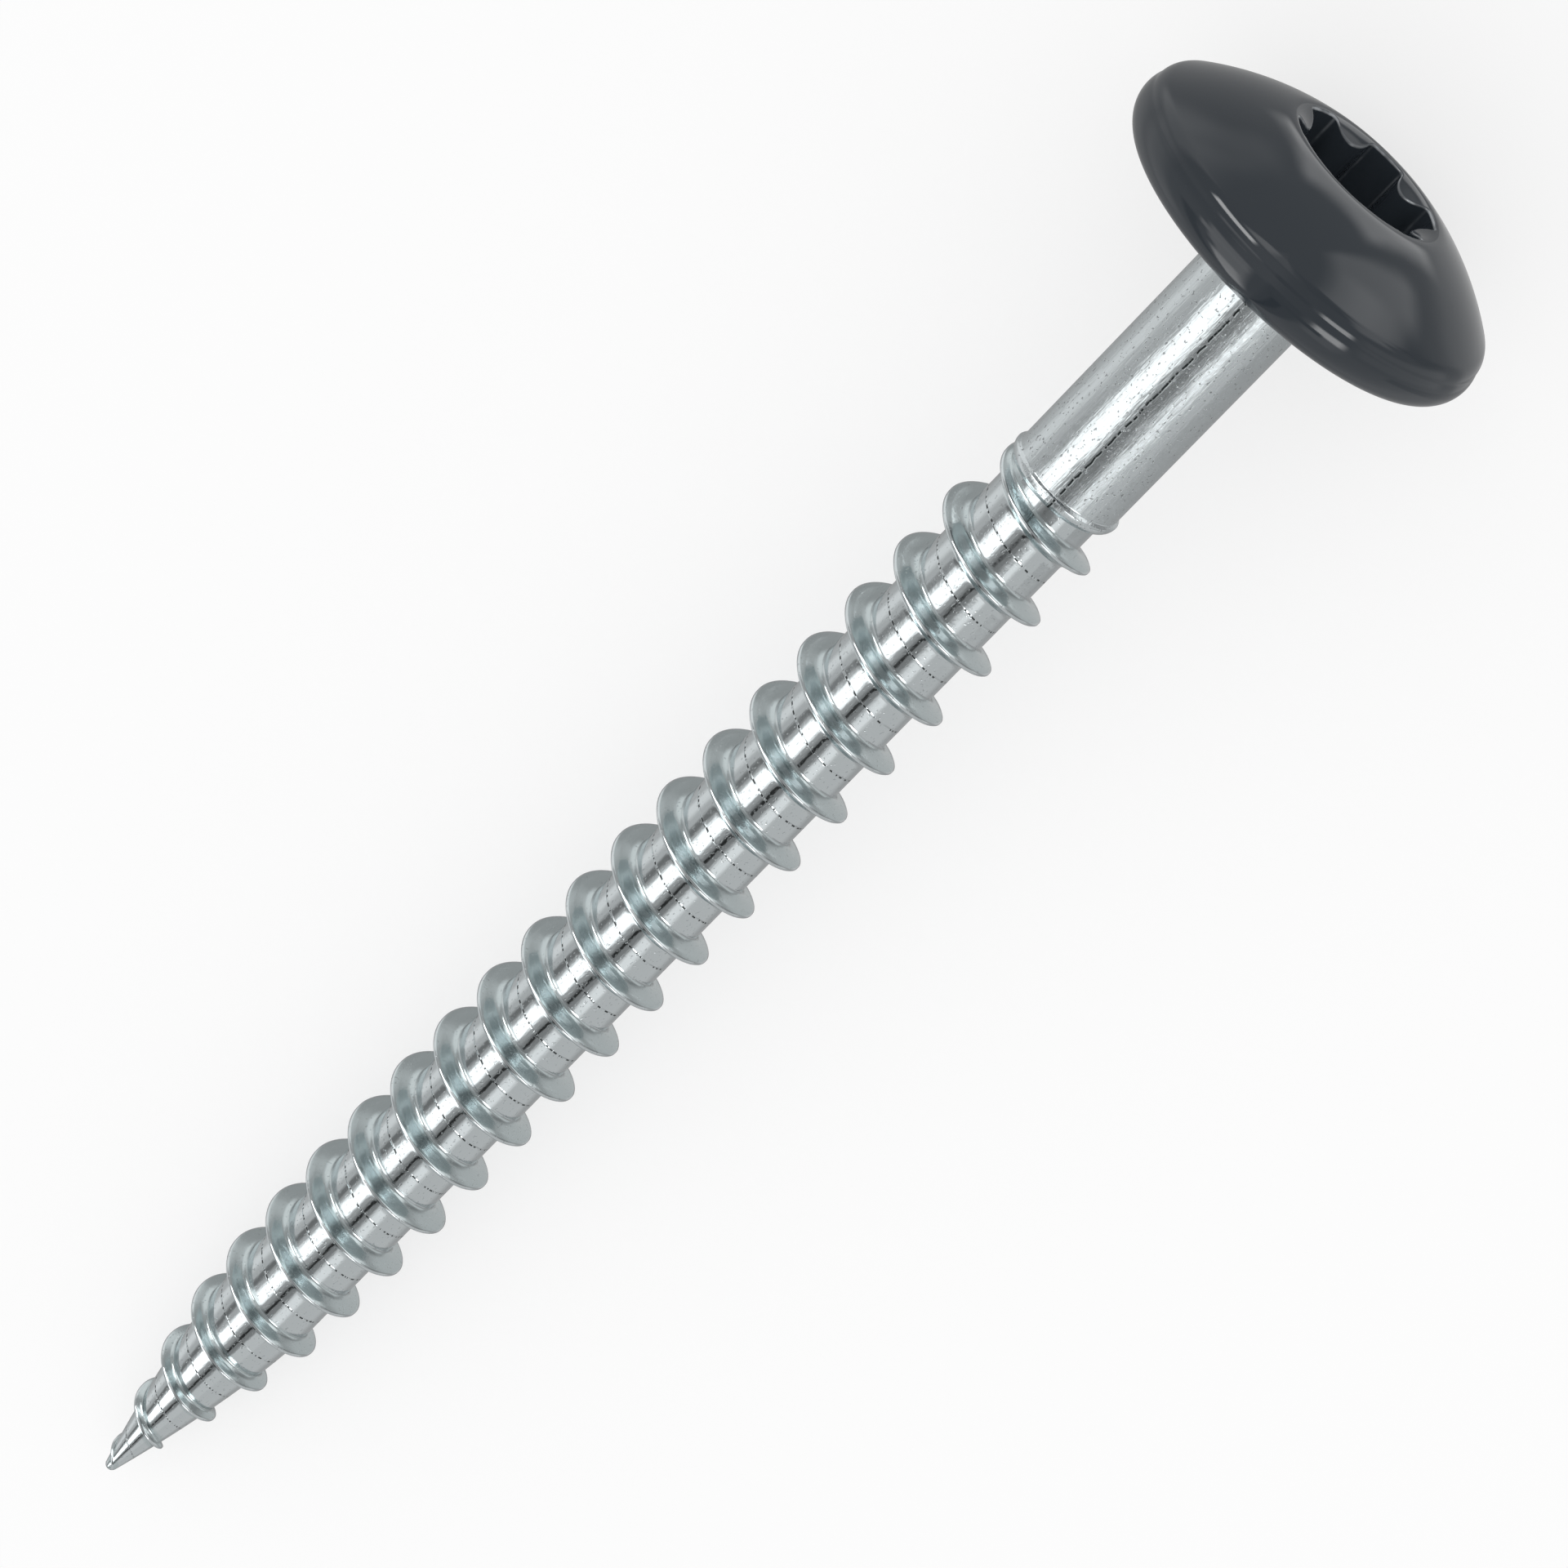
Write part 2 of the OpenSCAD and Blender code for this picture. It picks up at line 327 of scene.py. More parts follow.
def wound_thread(tree, rule):
    """One strip from crest to next crest, wound round the axis. It starts so far before the first
    crest that the point is closed, and ends out of sight inside the shank."""
    mesh, row, column = grid_places(tree, THREAD_TURNS * THREAD_STEPS + 1, THREAD_COLUMNS)
    turn = row / THREAD_STEPS - TURNS_BEFORE_FIRST_CREST
    share = column / (THREAD_COLUMNS - 1)
    gathered = share * (1 - COLUMN_GATHERING) + share.smooth_step() * COLUMN_GATHERING
    crest_place = rule.crest_place(turn)
    run = rule.sizes["Pitch"] * gathered
    end_place = SCREW_LENGTH - SHANK_LENGTH + THREAD_END_MARGIN
    beyond = (crest_place + run - end_place).calculate("MAXIMUM", 0.0)
    x = (crest_place + run).calculate("MAXIMUM", 0.0).calculate("MINIMUM", end_place)

    crest = rule.crest_at(turn)
    next_crest = rule.crest_at(turn + 1.0)
    back = rule.flank(crest, x - crest_place, HEAD_FLANK_ANGLE)
    front = rule.flank(next_crest, crest_place + rule.sizes["Pitch"] - x, POINT_FLANK_ANGLE)
    radius = rule.valley_at(turn, x)
    foot_share = ((crest - radius) / FULL_FOOT_HEIGHT).clamped()
    foot = foot_share * FOOT_ROUNDING + LEAST_FOOT_ROUNDING
    radius = radius.calculate("SMOOTH_MAX", back, foot)
    radius = radius.calculate("SMOOTH_MAX", front, foot)
    radius = mixed(radius, crest, column.calculate("LESS_THAN", 0.5))
    radius = mixed(radius, next_crest, column.calculate("GREATER_THAN", THREAD_COLUMNS - 1.5))

    nose = 1.0 - (1.0 - (x / POINT_RADIUS).clamped()) ** 2.0
    radius = radius * nose.calculate("SQRT")
    burying = ((x - end_place) / BURYING_LENGTH + 1.0).smooth_step()
    radius = mixed(radius, BURIED_RADIUS, burying)
    radius = radius * (1.0 - beyond).clamped()
    angle = math.radians(THREAD_TURN) - turn * math.tau
    return placed(tree, mesh, x + INSET, radius, angle, turn, gathered)


SHANK_STEPS = 128
LIP_ROWS = 12
FADE_ROWS = 6
NECK_ROWS = 8
NECK_BURIED_LENGTH = 0.3
SHANK_MAP_START = 2.0
SHANK_MAP_SCALE = 0.1


def turned_shank(tree, sizes):
    """The plain shank, as rows round the axis: closed end, lip, fade, two rows that keep the long
    face straight, neck fillet, and an end buried in the head."""
    lip_centre = SCREW_LENGTH - SHANK_LENGTH + LIP_RADIUS
    lip_centre_radius = SHANK_RADIUS + LIP_HEIGHT - LIP_RADIUS
    neck_start = SCREW_LENGTH - NECK_RADIUS
    lip_end_row = 1 + LIP_ROWS
    fade_end_row = lip_end_row + FADE_ROWS
    neck_start_row = fade_end_row + 3
    neck_end_row = neck_start_row + NECK_ROWS
    rows = neck_end_row + 3
    mesh, row, column = grid_places(tree, rows, SHANK_STEPS + 1)

    def from_row(number):
        """1 from a row on, and 0 before it."""
        return row.calculate("GREATER_THAN", number - 0.5)

    lip_turn = ((row - 1.0) / LIP_ROWS).clamped() * (math.pi / 2)
    fade = ((row - lip_end_row) / FADE_ROWS).clamped()
    neck_turn = ((row - neck_start_row) / NECK_ROWS).clamped() * (math.pi / 2)
    x = lip_centre - lip_turn.calculate("COSINE") * LIP_RADIUS + fade * LIP_FADE
    x = x + from_row(fade_end_row + 1) * SUPPORT + from_row(neck_start_row) * SUPPORT
    x = x + from_row(fade_end_row + 2) * (neck_start - lip_centre - LIP_FADE - 2 * SUPPORT)
    x = x + neck_turn.calculate("SINE") * NECK_RADIUS
    x = x + from_row(neck_end_row + 1) * NECK_BURIED_LENGTH
    radius = lip_centre_radius + lip_turn.calculate("SINE") * LIP_RADIUS
    radius = radius - fade.smooth_step() * LIP_HEIGHT + (sizes["Shank radius"] - SHANK_RADIUS)
    radius = radius + (1.0 - neck_turn.calculate("COSINE")) * NECK_RADIUS
    radius = radius * from_row(1) * (1.0 - from_row(rows - 1))
    angle = column * (math.tau / SHANK_STEPS)
    map_across = x * SHANK_MAP_SCALE + SHANK_MAP_START
    return placed(tree, mesh, x, radius, angle, angle / math.tau, map_across)


def made_mesh(name, source):
    """A plain mesh object in the part's frame, from an object in the screw's own frame."""
    graph = bpy.context.evaluated_depsgraph_get()
    mesh = bpy.data.meshes.new_from_object(source.evaluated_get(graph), depsgraph=graph)
    mesh.name = name
    mesh.transform(screw_frame)
    bpy.data.objects.remove(source)
    made = bpy.data.objects.new(name, mesh)
    bpy.context.scene.collection.objects.link(made)
    return made


def threaded_shank(material):
    """Core, thread and shank as one closed mesh, made by the node tree."""
    carrier = bpy.data.objects.new("thread_carrier", bpy.data.meshes.new("thread_carrier"))
    bpy.context.scene.collection.objects.link(carrier)
    sizes = thread_sizes()
    tree = threaded_shank_tree(sizes, material)
    modifier = carrier.modifiers.new("threaded_shank_rule", "NODES")
    modifier.node_group = tree
    for item in tree.interface.items_tree:
        if item.item_type == "SOCKET" and item.in_out == "INPUT":
            modifier[item.identifier] = sizes[item.name]
    return made_mesh("threaded_shank", carrier)


# Painted head

def smooth_max(a, b, distance):
    """The larger of two values, rounded where they are within a distance of each other."""
    share = np.maximum(distance - np.abs(a - b), 0) / distance
    return np.maximum(a, b) + share ** 3 * distance / 6


def smooth_min(a, b, distance):
    return -smooth_max(-a, -b, distance)


def directions(angles):
    return np.stack([np.cos(angles), np.sin(angles)], axis=-1)


def reach(centre, radius, start, angles):
    """Distance from a start point inside a circle to its edge, at each angle."""
    offset = np.asarray(start) - np.asarray(centre)
    along = directions(angles) @ offset
    return np.sqrt(radius ** 2 - offset @ offset + along ** 2) - along


LOBE_STEPS = 5
CORNER_STEPS = 9
RIB_STEPS = 13
# Painted highlight down the recess's corners: its shares across the middle of a bend, and its strength
CORNER_HIGHLIGHT_SHARES = (0.5, 1.0, 0.5)
CORNER_HIGHLIGHT_STRENGTH = 0.3


def recess_wall():
    """Angle and radius of the recess's wall, all the way round, and how much painted highlight each takes
    near a corner.
    """
    half_share = math.pi / LOBE_COUNT
    rib_place = RIBS_RADIUS + RIB_RADIUS
    corner_place = LOBES_RADIUS - LOBE_CORNER_RADIUS
    corner_reach = RIB_RADIUS + LOBE_CORNER_RADIUS
    corner_turn = math.acos(
        (rib_place ** 2 + corner_place ** 2 - corner_reach ** 2) / (2 * rib_place * corner_place)
    )
    corner_angle = half_share - corner_turn
    corner = corner_place * directions(corner_angle)
    rib = rib_place * directions(half_share)
    meeting = rib - corner
    meeting_angle = math.atan2(meeting[1], meeting[0])

    # Half a lobe: its round outside, its corner, and half of the rib beside it
    lobe = LOBES_RADIUS * directions(np.linspace(0, corner_angle, LOBE_STEPS, endpoint=False))
    bend_angles = np.linspace(corner_angle, meeting_angle, CORNER_STEPS, endpoint=False)
    bend = corner + LOBE_CORNER_RADIUS * directions(bend_angles)
    crest_angles = np.linspace(meeting_angle + math.pi, half_share + math.pi, RIB_STEPS)
    crest = rib + RIB_RADIUS * directions(crest_angles)
    half = np.concatenate([lobe, bend, crest])
    half_angles = np.arctan2(half[:, 1], half[:, 0])
    half_radii = np.hypot(half[:, 0], half[:, 1])
    # Painted highlight along the middle of each corner's bend
    half_corner_highlights = np.zeros(len(half))
    bend_middle = LOBE_STEPS + CORNER_STEPS // 2
    half_corner_highlights[bend_middle - 1:bend_middle + 2] = CORNER_HIGHLIGHT_SHARES

    # The other half mirrors it, and the lobes repeat round the axis
    angles = np.concatenate([half_angles, 2 * half_share - half_angles[-2:0:-1]])
    radii = np.concatenate([half_radii, half_radii[-2:0:-1]])
    corners = np.concatenate([half_corner_highlights, half_corner_highlights[-2:0:-1]])
    turns = np.repeat(np.arange(LOBE_COUNT) * 2 * half_share, len(angles))
    return np.tile(angles, LOBE_COUNT) + turns, np.tile(radii, LOBE_COUNT), np.tile(corners, LOBE_COUNT)


FLOOR_RING_SHARES = (0.0, 0.35, 0.7, 1.0)
WALL_RING_SHARES = (0.0, 0.02, 0.25, 0.5, 0.75, 0.98, 1.0)
EDGE_RINGS = 5
EDGE_TURN = math.pi / 3
MOUTH_RINGS = 14
DOME_RINGS = 20
RIM_RINGS = 49
BEARING_RING_SHARES = (0.8, 0.5, 0.0)


def head_surface():
    """Rings of the painted head: radius, height and share of painted highlight on the recess's edge, at
    each angle.
    """
    rim = (HEAD_RADIUS - INSET - RIM_RADIUS, RIM_RADIUS)
    shoulder = (HEAD_RADIUS - SHOULDER_INSET - SHOULDER_RADIUS, RIM_RADIUS + SHOULDER_RISE)
    centre = dome_centre()
    dome_tilt = math.asin(shoulder[0] / (DOME_RADIUS - SHOULDER_RADIUS))
    mouth_radius = LOBES_RADIUS + COUNTERSINK_MARGIN
    mouth = mouth_height()
    slope = COUNTERSINK_DEPTH / (mouth_radius - RIBS_RADIUS)

    def top_at(radius):
        """Height of the dome, or of the countersink inside it, with a soft edge between the two."""
        dome = centre + np.sqrt(DOME_RADIUS ** 2 - radius ** 2)
        countersink = mouth - slope * (mouth_radius - radius)
        return smooth_min(dome, countersink, MOUTH_SOFTNESS)

    angles, wall, corners = recess_wall()
    rings = []

    # Each ring: radius, height, and the share of painted highlight on it
    def ring(radius, height, edge=0.0):
        rings.append([np.broadcast_to(value, angles.shape) for value in (radius, height, edge)])

    # Recess: conical floor, wall, rounded edge and countersunk mouth
    floor_height = mouth - RECESS_DEPTH
    floor_radius = RIBS_RADIUS - FLOOR_MARGIN
    for share in FLOOR_RING_SHARES:
        ring(share * floor_radius, floor_height - (1 - share) * FLOOR_DEPTH)
    edge_radius = wall + EDGE_RADIUS / 2
    edge_height = top_at(edge_radius)
    wall_top = edge_height - EDGE_RADIUS * math.sin(EDGE_TURN)
    ring(wall - SUPPORT, floor_height)
    # The wall, with painted highlight growing up each corner
    for share in WALL_RING_SHARES:
        ring(wall, floor_height + share * (wall_top - floor_height), corners * share * CORNER_HIGHLIGHT_STRENGTH)
    # Rounded edge, with painted highlight strongest midway round it
    for turn in np.linspace(0, EDGE_TURN, EDGE_RINGS + 1)[1:]:
        radius = wall + EDGE_RADIUS * (1 - math.cos(turn))
        height = edge_height - EDGE_RADIUS * (math.sin(EDGE_TURN) - math.sin(turn))
        ring(radius, height, math.sin(math.pi * turn / EDGE_TURN))
    soft_radius = mouth_radius + MOUTH_SOFT_REACH
    for share in np.linspace(0, 1, MOUTH_RINGS + 1)[1:]:
        radius = edge_radius + share * (soft_radius - edge_radius)
        ring(radius, top_at(radius))

    # Dome, then shoulder and rolled rim seen from a point between them, then bearing face
    for tilt in np.linspace(math.asin(soft_radius / DOME_RADIUS), dome_tilt, DOME_RINGS + 2)[1:-1]:
        ring(DOME_RADIUS * math.sin(tilt), centre + DOME_RADIUS * math.cos(tilt))
    middle = np.array([(rim[0] + shoulder[0]) / 2, (rim[1] + shoulder[1]) / 2])
    foot = np.array([DOME_RADIUS * math.sin(dome_tilt), centre + DOME_RADIUS * math.cos(dome_tilt)])
    start = math.atan2(foot[1] - middle[1], foot[0] - middle[0])
    end = math.atan2(-middle[1], rim[0] - middle[0])
    turns = np.linspace(start, end, RIM_RINGS)
    rim_distances = reach(rim, RIM_RADIUS, middle, turns)
    shoulder_distances = reach(shoulder, SHOULDER_RADIUS, middle, turns)
    distances = smooth_max(rim_distances, shoulder_distances, CREASE_SOFTNESS)
    for turn, distance in zip(turns, distances):
        ring(middle[0] + distance * math.cos(turn), middle[1] + distance * math.sin(turn))
    ring(rim[0] - SUPPORT, 0.0)
    for share in BEARING_RING_SHARES:
        ring(rim[0] * share, 0.0)
    radii, heights, edges = np.array(rings).transpose(1, 0, 2)
    return angles, radii, heights, edges


def painted_head(material):
    """The rings joined into one closed mesh, from the middle of the recess's floor to the neck's axis."""
    angles, radii, heights, edges = head_surface()
    turned = angles + math.radians(RECESS_TURN)
    places = np.stack([
        SCREW_LENGTH + heights,
        radii * np.sin(turned),
        -radii * np.cos(turned),
    ], axis=-1)
    ring_count, step_count = radii.shape
    vertices = [tuple(places[0, 0])]
    vertices += [tuple(place) for ring in places[1:-1] for place in ring]
    vertices += [tuple(places[-1, 0])]

    def number(ring, step):
        return 1 + (ring - 1) * step_count + step % step_count

    faces = []
    for step in range(step_count):
        faces.append((0, number(1, step), number(1, step + 1)))
        faces.append((len(vertices) - 1, number(ring_count - 2, step + 1), number(ring_count - 2, step)))
        for ring in range(1, ring_count - 2):
            faces.append((
                number(ring, step), number(ring + 1, step),
                number(ring + 1, step + 1), number(ring, step + 1)
            ))
    mesh = bpy.data.meshes.new("painted_head")
    mesh.from_pydata(vertices, [], faces)
    mesh.materials.append(material)
    mesh.transform(screw_frame)
    mesh.shade_smooth()
    # Share of painted highlight on the recess's rounded edge and corners, for the paint
    edge_highlight_attribute = mesh.attributes.new("recess_edge_highlight", "FLOAT", "POINT")
    edge_highlight_attribute.data.foreach_set("value", np.concatenate([[0.0], edges[1:-1].ravel(), [0.0]]))
    mesh.validate()
    made = bpy.data.objects.new("painted_head", mesh)
    bpy.context.scene.collection.objects.link(made)
    return made


# Finishes

def new_material(name):
    """A material with its node tree and its shader."""
    material = bpy.data.materials.new(name)
    material.use_nodes = True
    return material, material.node_tree, material.node_tree.nodes["Principled BSDF"]


def axis_coordinates(tree, stretch=(1.0, 1.0, 1.0)):
    """Object coordinates turned to the screw's own frame, in metres times the stretch."""
    place = tree.nodes.new("ShaderNodeTexCoord")
    turn = tree.nodes.new("ShaderNodeMapping")
    turn.vector_type = "POINT"
    turn.inputs["Location"].default_value = -(Matrix.Rotation(math.asin(axis.z), 3, "Y") @ point_place)
    turn.inputs["Rotation"].default_value = (0, math.asin(axis.z), 0)
    tree.links.new(place.outputs["Object"], turn.inputs["Vector"])
    scale = tree.nodes.new("ShaderNodeMapping")
    scale.inputs["Scale"].default_value = stretch
    tree.links.new(turn.outputs[0], scale.inputs["Vector"])
    return scale.outputs[0]


def noise(tree, vector, scale, detail=2.0, roughness=0.5):
    node = tree.nodes.new("ShaderNodeTexNoise")
    node.inputs["Scale"].default_value = scale
    node.inputs["Detail"].default_value = detail
    node.inputs["Roughness"].default_value = roughness
    tree.links.new(vector, node.inputs["Vector"])
    return Value(tree, node.outputs["Fac"])


def noise_line(tree, value, scale, detail=1.0):
    """Noise along one value, so that it changes only with that value."""
    node = tree.nodes.new("ShaderNodeTexNoise")
    node.noise_dimensions = "1D"
    node.inputs["Scale"].default_value = scale
    node.inputs["Detail"].default_value = detail
    put(tree, value, node.inputs["W"])
    return Value(tree, node.outputs["Fac"])


def color_mix(tree, first, second, share):
    """A colour between two, each given as a socket or as red, green and blue."""
    node = tree.nodes.new("ShaderNodeMix")
    node.data_type = "RGBA"
    for name, color in (("A", first), ("B", second)):
        if isinstance(color, tuple):
            node.inputs[name].default_value = color + (1,)
        else:
            tree.links.new(color, node.inputs[name])
    put(tree, share, node.inputs["Factor"])
    return node.outputs["Result"]


def bump(tree, height, distance, strength=1.0, under=None):
    node = tree.nodes.new("ShaderNodeBump")
    node.inputs["Strength"].default_value = strength
    node.inputs["Distance"].default_value = distance
    put(tree, height, node.inputs["Height"])
    if under:
        tree.links.new(under, node.inputs["Normal"])
    return node.outputs[0]


# Zinc: colours, then roughness of each surface and of the clouds on it
ZINC_COLOR = (0.71, 0.76, 0.775)
# The flanks' zinc is a little more blue-green, and darker as painted shade
SHADED_FLANK_COLOR = (0.605, 0.675, 0.685)
ZINC_STAIN_AND_DARK_REFLECTION = (0.03, 0.035, 0.035)
THREAD_ROUGHNESS = 0.09
SHANK_ROUGHNESS = 0.22
FLANK_ROUGHNESS = 0.17
THREAD_CLOUD_ROUGHNESS = 0.06
SHANK_CLOUD_ROUGHNESS = 0.18
STAIN_ROUGHNESS = 0.25

# Shares of the thread's strip, from one crest, that are crest and flank
CREST_SHARE = 0.025
CREST_SOFTNESS = 0.02
FLANK_SHARE = 0.16
FLANK_SOFTNESS = 0.12

# Grain: how often it repeats in a metre, along the axis and across it
STREAK_SCALES = (450, 3200, 3200)
CLOUD_SCALES = (1400, 1900, 1900)
PIT_SCALES = (7000, 9000, 9000)
GRAIN_DETAIL = 3.0
GRAIN_FINENESS = 0.6
PIT_LIMIT = 0.685
PIT_SOFTNESS = 0.06
THREAD_PIT_SHARE = 0.35
THREAD_CLOUD_SHARE = 0.5
THREAD_STREAK_SHARE = 0.15

# The seam between the thread's turns; its places are shares of the strip
SEAM_PLACE = 0.5
SEAM_HALF_WIDTH = 0.022
SEAM_WANDER = 0.02
SEAM_WANDERS_PER_TURN = 14.0
SEAM_DOTS_PER_TURN = 60.0
DOT_LIMIT = 0.53
DOT_SOFTNESS = 0.06

# A dark reflection painted as a line along the shank; its places are shares of a turn, and its scales
# count in a metre
SHANK_LINE_PLACE = 0.2595
SHANK_LINE_HALF_WIDTH = 0.0055
SHANK_LINE_SWAY = 0.012
SHANK_LINE_SWAY_SCALE = 900.0
DASH_SCALE = 3500.0
SHANK_LINE_DETAIL = 2.0
DASH_LIMIT = 0.45
DASH_SOFTNESS = 0.1

# How dark the dots, the painted dark-reflection dashes and the pits are, how far they and the seam stand
# out or sink as shares of their bump, and the heights of the bumps in millimetres
DOT_STAIN = 1.2
DASH_DARKNESS = 1.3
PIT_STAIN = 0.5
SEAM_RISE = 0.5
DOT_SINK = 0.9
DASH_SINK = 0.4
PIT_SINK = 0.3
CLOUD_BUMP = 0.012
STREAK_BUMP = 0.022
MARK_BUMP = 0.02


def zinc_plating():
    """Bright zinc on the core, satin on the flanks and shank, with the marks that rolling left. The
    flanks are painted darker as shade, and a dark reflection is painted along the shank in dashes.
    """
    material, tree, shader = new_material("zinc_plating")
    surface = tree.nodes.new("ShaderNodeUVMap")
    surface.uv_map = "surface"
    split = tree.nodes.new("ShaderNodeSeparateXYZ")
    tree.links.new(surface.outputs[0], split.inputs[0])
    turn = Value(tree, split.outputs[0])
    spread = Value(tree, split.outputs[1])
    on_shank = spread.calculate("GREATER_THAN", (SHANK_MAP_START + 1) / 2)
    from_core = (spread - 0.5).calculate("ABSOLUTE") * 2.0
    on_crest = above(from_core, 1.0 - 2 * CREST_SHARE, CREST_SOFTNESS)
    on_tooth = above(from_core, 1.0 - 2 * FLANK_SHARE, FLANK_SOFTNESS)
    on_flank = on_tooth * (1.0 - on_crest) * (1.0 - on_shank)

    # Streaks drawn along the shank, soft clouds, and small dark pits
    streaks = noise(tree, axis_coordinates(tree, STREAK_SCALES), 1.0, GRAIN_DETAIL, GRAIN_FINENESS)
    clouds = noise(tree, axis_coordinates(tree, CLOUD_SCALES), 1.0, GRAIN_DETAIL, GRAIN_FINENESS)
    grain = noise(tree, axis_coordinates(tree, PIT_SCALES), 1.0, 1.0)
    pits = above(grain, PIT_LIMIT, PIT_SOFTNESS) * mixed(THREAD_PIT_SHARE, 1.0, on_shank)

    # The seam that the thread's rolls leave midway between its turns, broken into dots
    beads = noise_line(tree, turn, SEAM_DOTS_PER_TURN)
    wander = (noise_line(tree, turn, SEAM_WANDERS_PER_TURN) - 0.5) * SEAM_WANDER
    off = (spread - SEAM_PLACE + wander).calculate("ABSOLUTE")
    seam = 1.0 - (off / SEAM_HALF_WIDTH).smooth_step()
    dots = seam * above(beads, DOT_LIMIT, DOT_SOFTNESS)

    # A dark reflection painted as a line along the shank, broken into dashes
    place = tree.nodes.new("ShaderNodeSeparateXYZ")
    tree.links.new(axis_coordinates(tree), place.inputs[0])
    run = Value(tree, place.outputs[0])
    sway = (noise_line(tree, run, SHANK_LINE_SWAY_SCALE, SHANK_LINE_DETAIL) - 0.5) * SHANK_LINE_SWAY
    aside = (turn - SHANK_LINE_PLACE + sway).calculate("ABSOLUTE")
    line = (1.0 - (aside / SHANK_LINE_HALF_WIDTH).smooth_step()) * on_shank
    breaks = noise_line(tree, run, DASH_SCALE, SHANK_LINE_DETAIL)
    dashes = line * above(breaks, DASH_LIMIT, DASH_SOFTNESS)

    # Dots and pits are stains; the dashes are painted dark reflection
    stain_and_dark_reflection = (dots * DOT_STAIN + dashes * DASH_DARKNESS + pits * PIT_STAIN).clamped()
    # The flanks take the darker colour, as painted shade
    clean_color = color_mix(tree, ZINC_COLOR, SHADED_FLANK_COLOR, on_flank)
    color = color_mix(tree, clean_color, ZINC_STAIN_AND_DARK_REFLECTION, stain_and_dark_reflection)
    tree.links.new(color, shader.inputs["Base Color"])
    shader.inputs["Metallic"].default_value = 1.0
    satin = mixed(THREAD_ROUGHNESS, SHANK_ROUGHNESS, on_shank)
    satin = satin + (FLANK_ROUGHNESS - THREAD_ROUGHNESS) * on_flank
    haze = (clouds - 0.5) * mixed(THREAD_CLOUD_ROUGHNESS, SHANK_CLOUD_ROUGHNESS, on_shank)
    put(tree, satin + haze + stain_and_dark_reflection * STAIN_ROUGHNESS, shader.inputs["Roughness"])

    swell = clouds * mixed(THREAD_CLOUD_SHARE, 1.0, on_shank)
    drawn = streaks * mixed(THREAD_STREAK_SHARE, 1.0, on_shank)
    marks = seam * SEAM_RISE - dots * DOT_SINK - dashes * DASH_SINK - pits * PIT_SINK
    normal = bump(tree, swell, CLOUD_BUMP * MM)
    normal = bump(tree, drawn, STREAK_BUMP * MM, 1.0, normal)
    normal = bump(tree, marks, MARK_BUMP * MM, 1.0, normal)
    tree.links.new(normal, shader.inputs["Normal"])
    return material


PAINT_COLOR = (0.025, 0.031, 0.038)
# Colour of the highlight painted along the recess's edge
PAINTED_HIGHLIGHT_COLOR = (0.36, 0.38, 0.4)
PAINT_ROUGHNESS = 0.32
COAT_ROUGHNESS = 0.06
COAT_IOR = 1.5
# Share of the painted highlight away from glints, and the noise that places the painted glints
EVEN_HIGHLIGHT_SHARE = 0.3
GLINT_SCALE = 1500.0
GLINT_LIMIT = 0.52
GLINT_SOFTNESS = 0.2
PEEL_SCALE = 900.0
PEEL_BUMP = 0.01
PEEL_STRENGTH = 0.3


def head_paint():
    """Gloss paint with a slight orange peel, and a highlight painted pale along the recess's rounded edge
    and corners.
    """
    material, tree, shader = new_material("head_paint")
    # Painted highlight along the recess's edge and corners, brighter in glints
    edge = tree.nodes.new("ShaderNodeAttribute")
    edge.attribute_name = "recess_edge_highlight"
    glints = above(noise(tree, axis_coordinates(tree), GLINT_SCALE, 1.0), GLINT_LIMIT, GLINT_SOFTNESS)
    highlight_share = Value(tree, edge.outputs["Fac"]) * mixed(EVEN_HIGHLIGHT_SHARE, 1.0, glints)
    color = color_mix(tree, PAINT_COLOR, PAINTED_HIGHLIGHT_COLOR, highlight_share)
    tree.links.new(color, shader.inputs["Base Color"])
    shader.inputs["Roughness"].default_value = PAINT_ROUGHNESS
    shader.inputs["Specular IOR Level"].default_value = 0.0
    shader.inputs["Coat Weight"].default_value = 1.0
    shader.inputs["Coat Roughness"].default_value = COAT_ROUGHNESS
    shader.inputs["Coat IOR"].default_value = COAT_IOR
    peel = noise(tree, axis_coordinates(tree), PEEL_SCALE, 1.0)
    normal = bump(tree, peel, PEEL_BUMP * MM, PEEL_STRENGTH)
    tree.links.new(normal, shader.inputs["Normal"])
    tree.links.new(normal, shader.inputs["Coat Normal"])
    return material


# Camera: it looks down on the screw from the head's side, square to the screw's width
FOCAL_PIXELS = 6500.0
PICTURE_PIXELS = 1920.0
SENSOR_WIDTH = 36.0
VIEW_TILT = math.radians(25.5)
AXIS_IMAGE_ANGLE = math.radians(45.75)
SIGHT_PLACE = 45.5
SIGHT_SIDE = 0.3
SIGHT_DISTANCE = 207.2
CLIP_START = 0.01
CLIP_END = 10.0


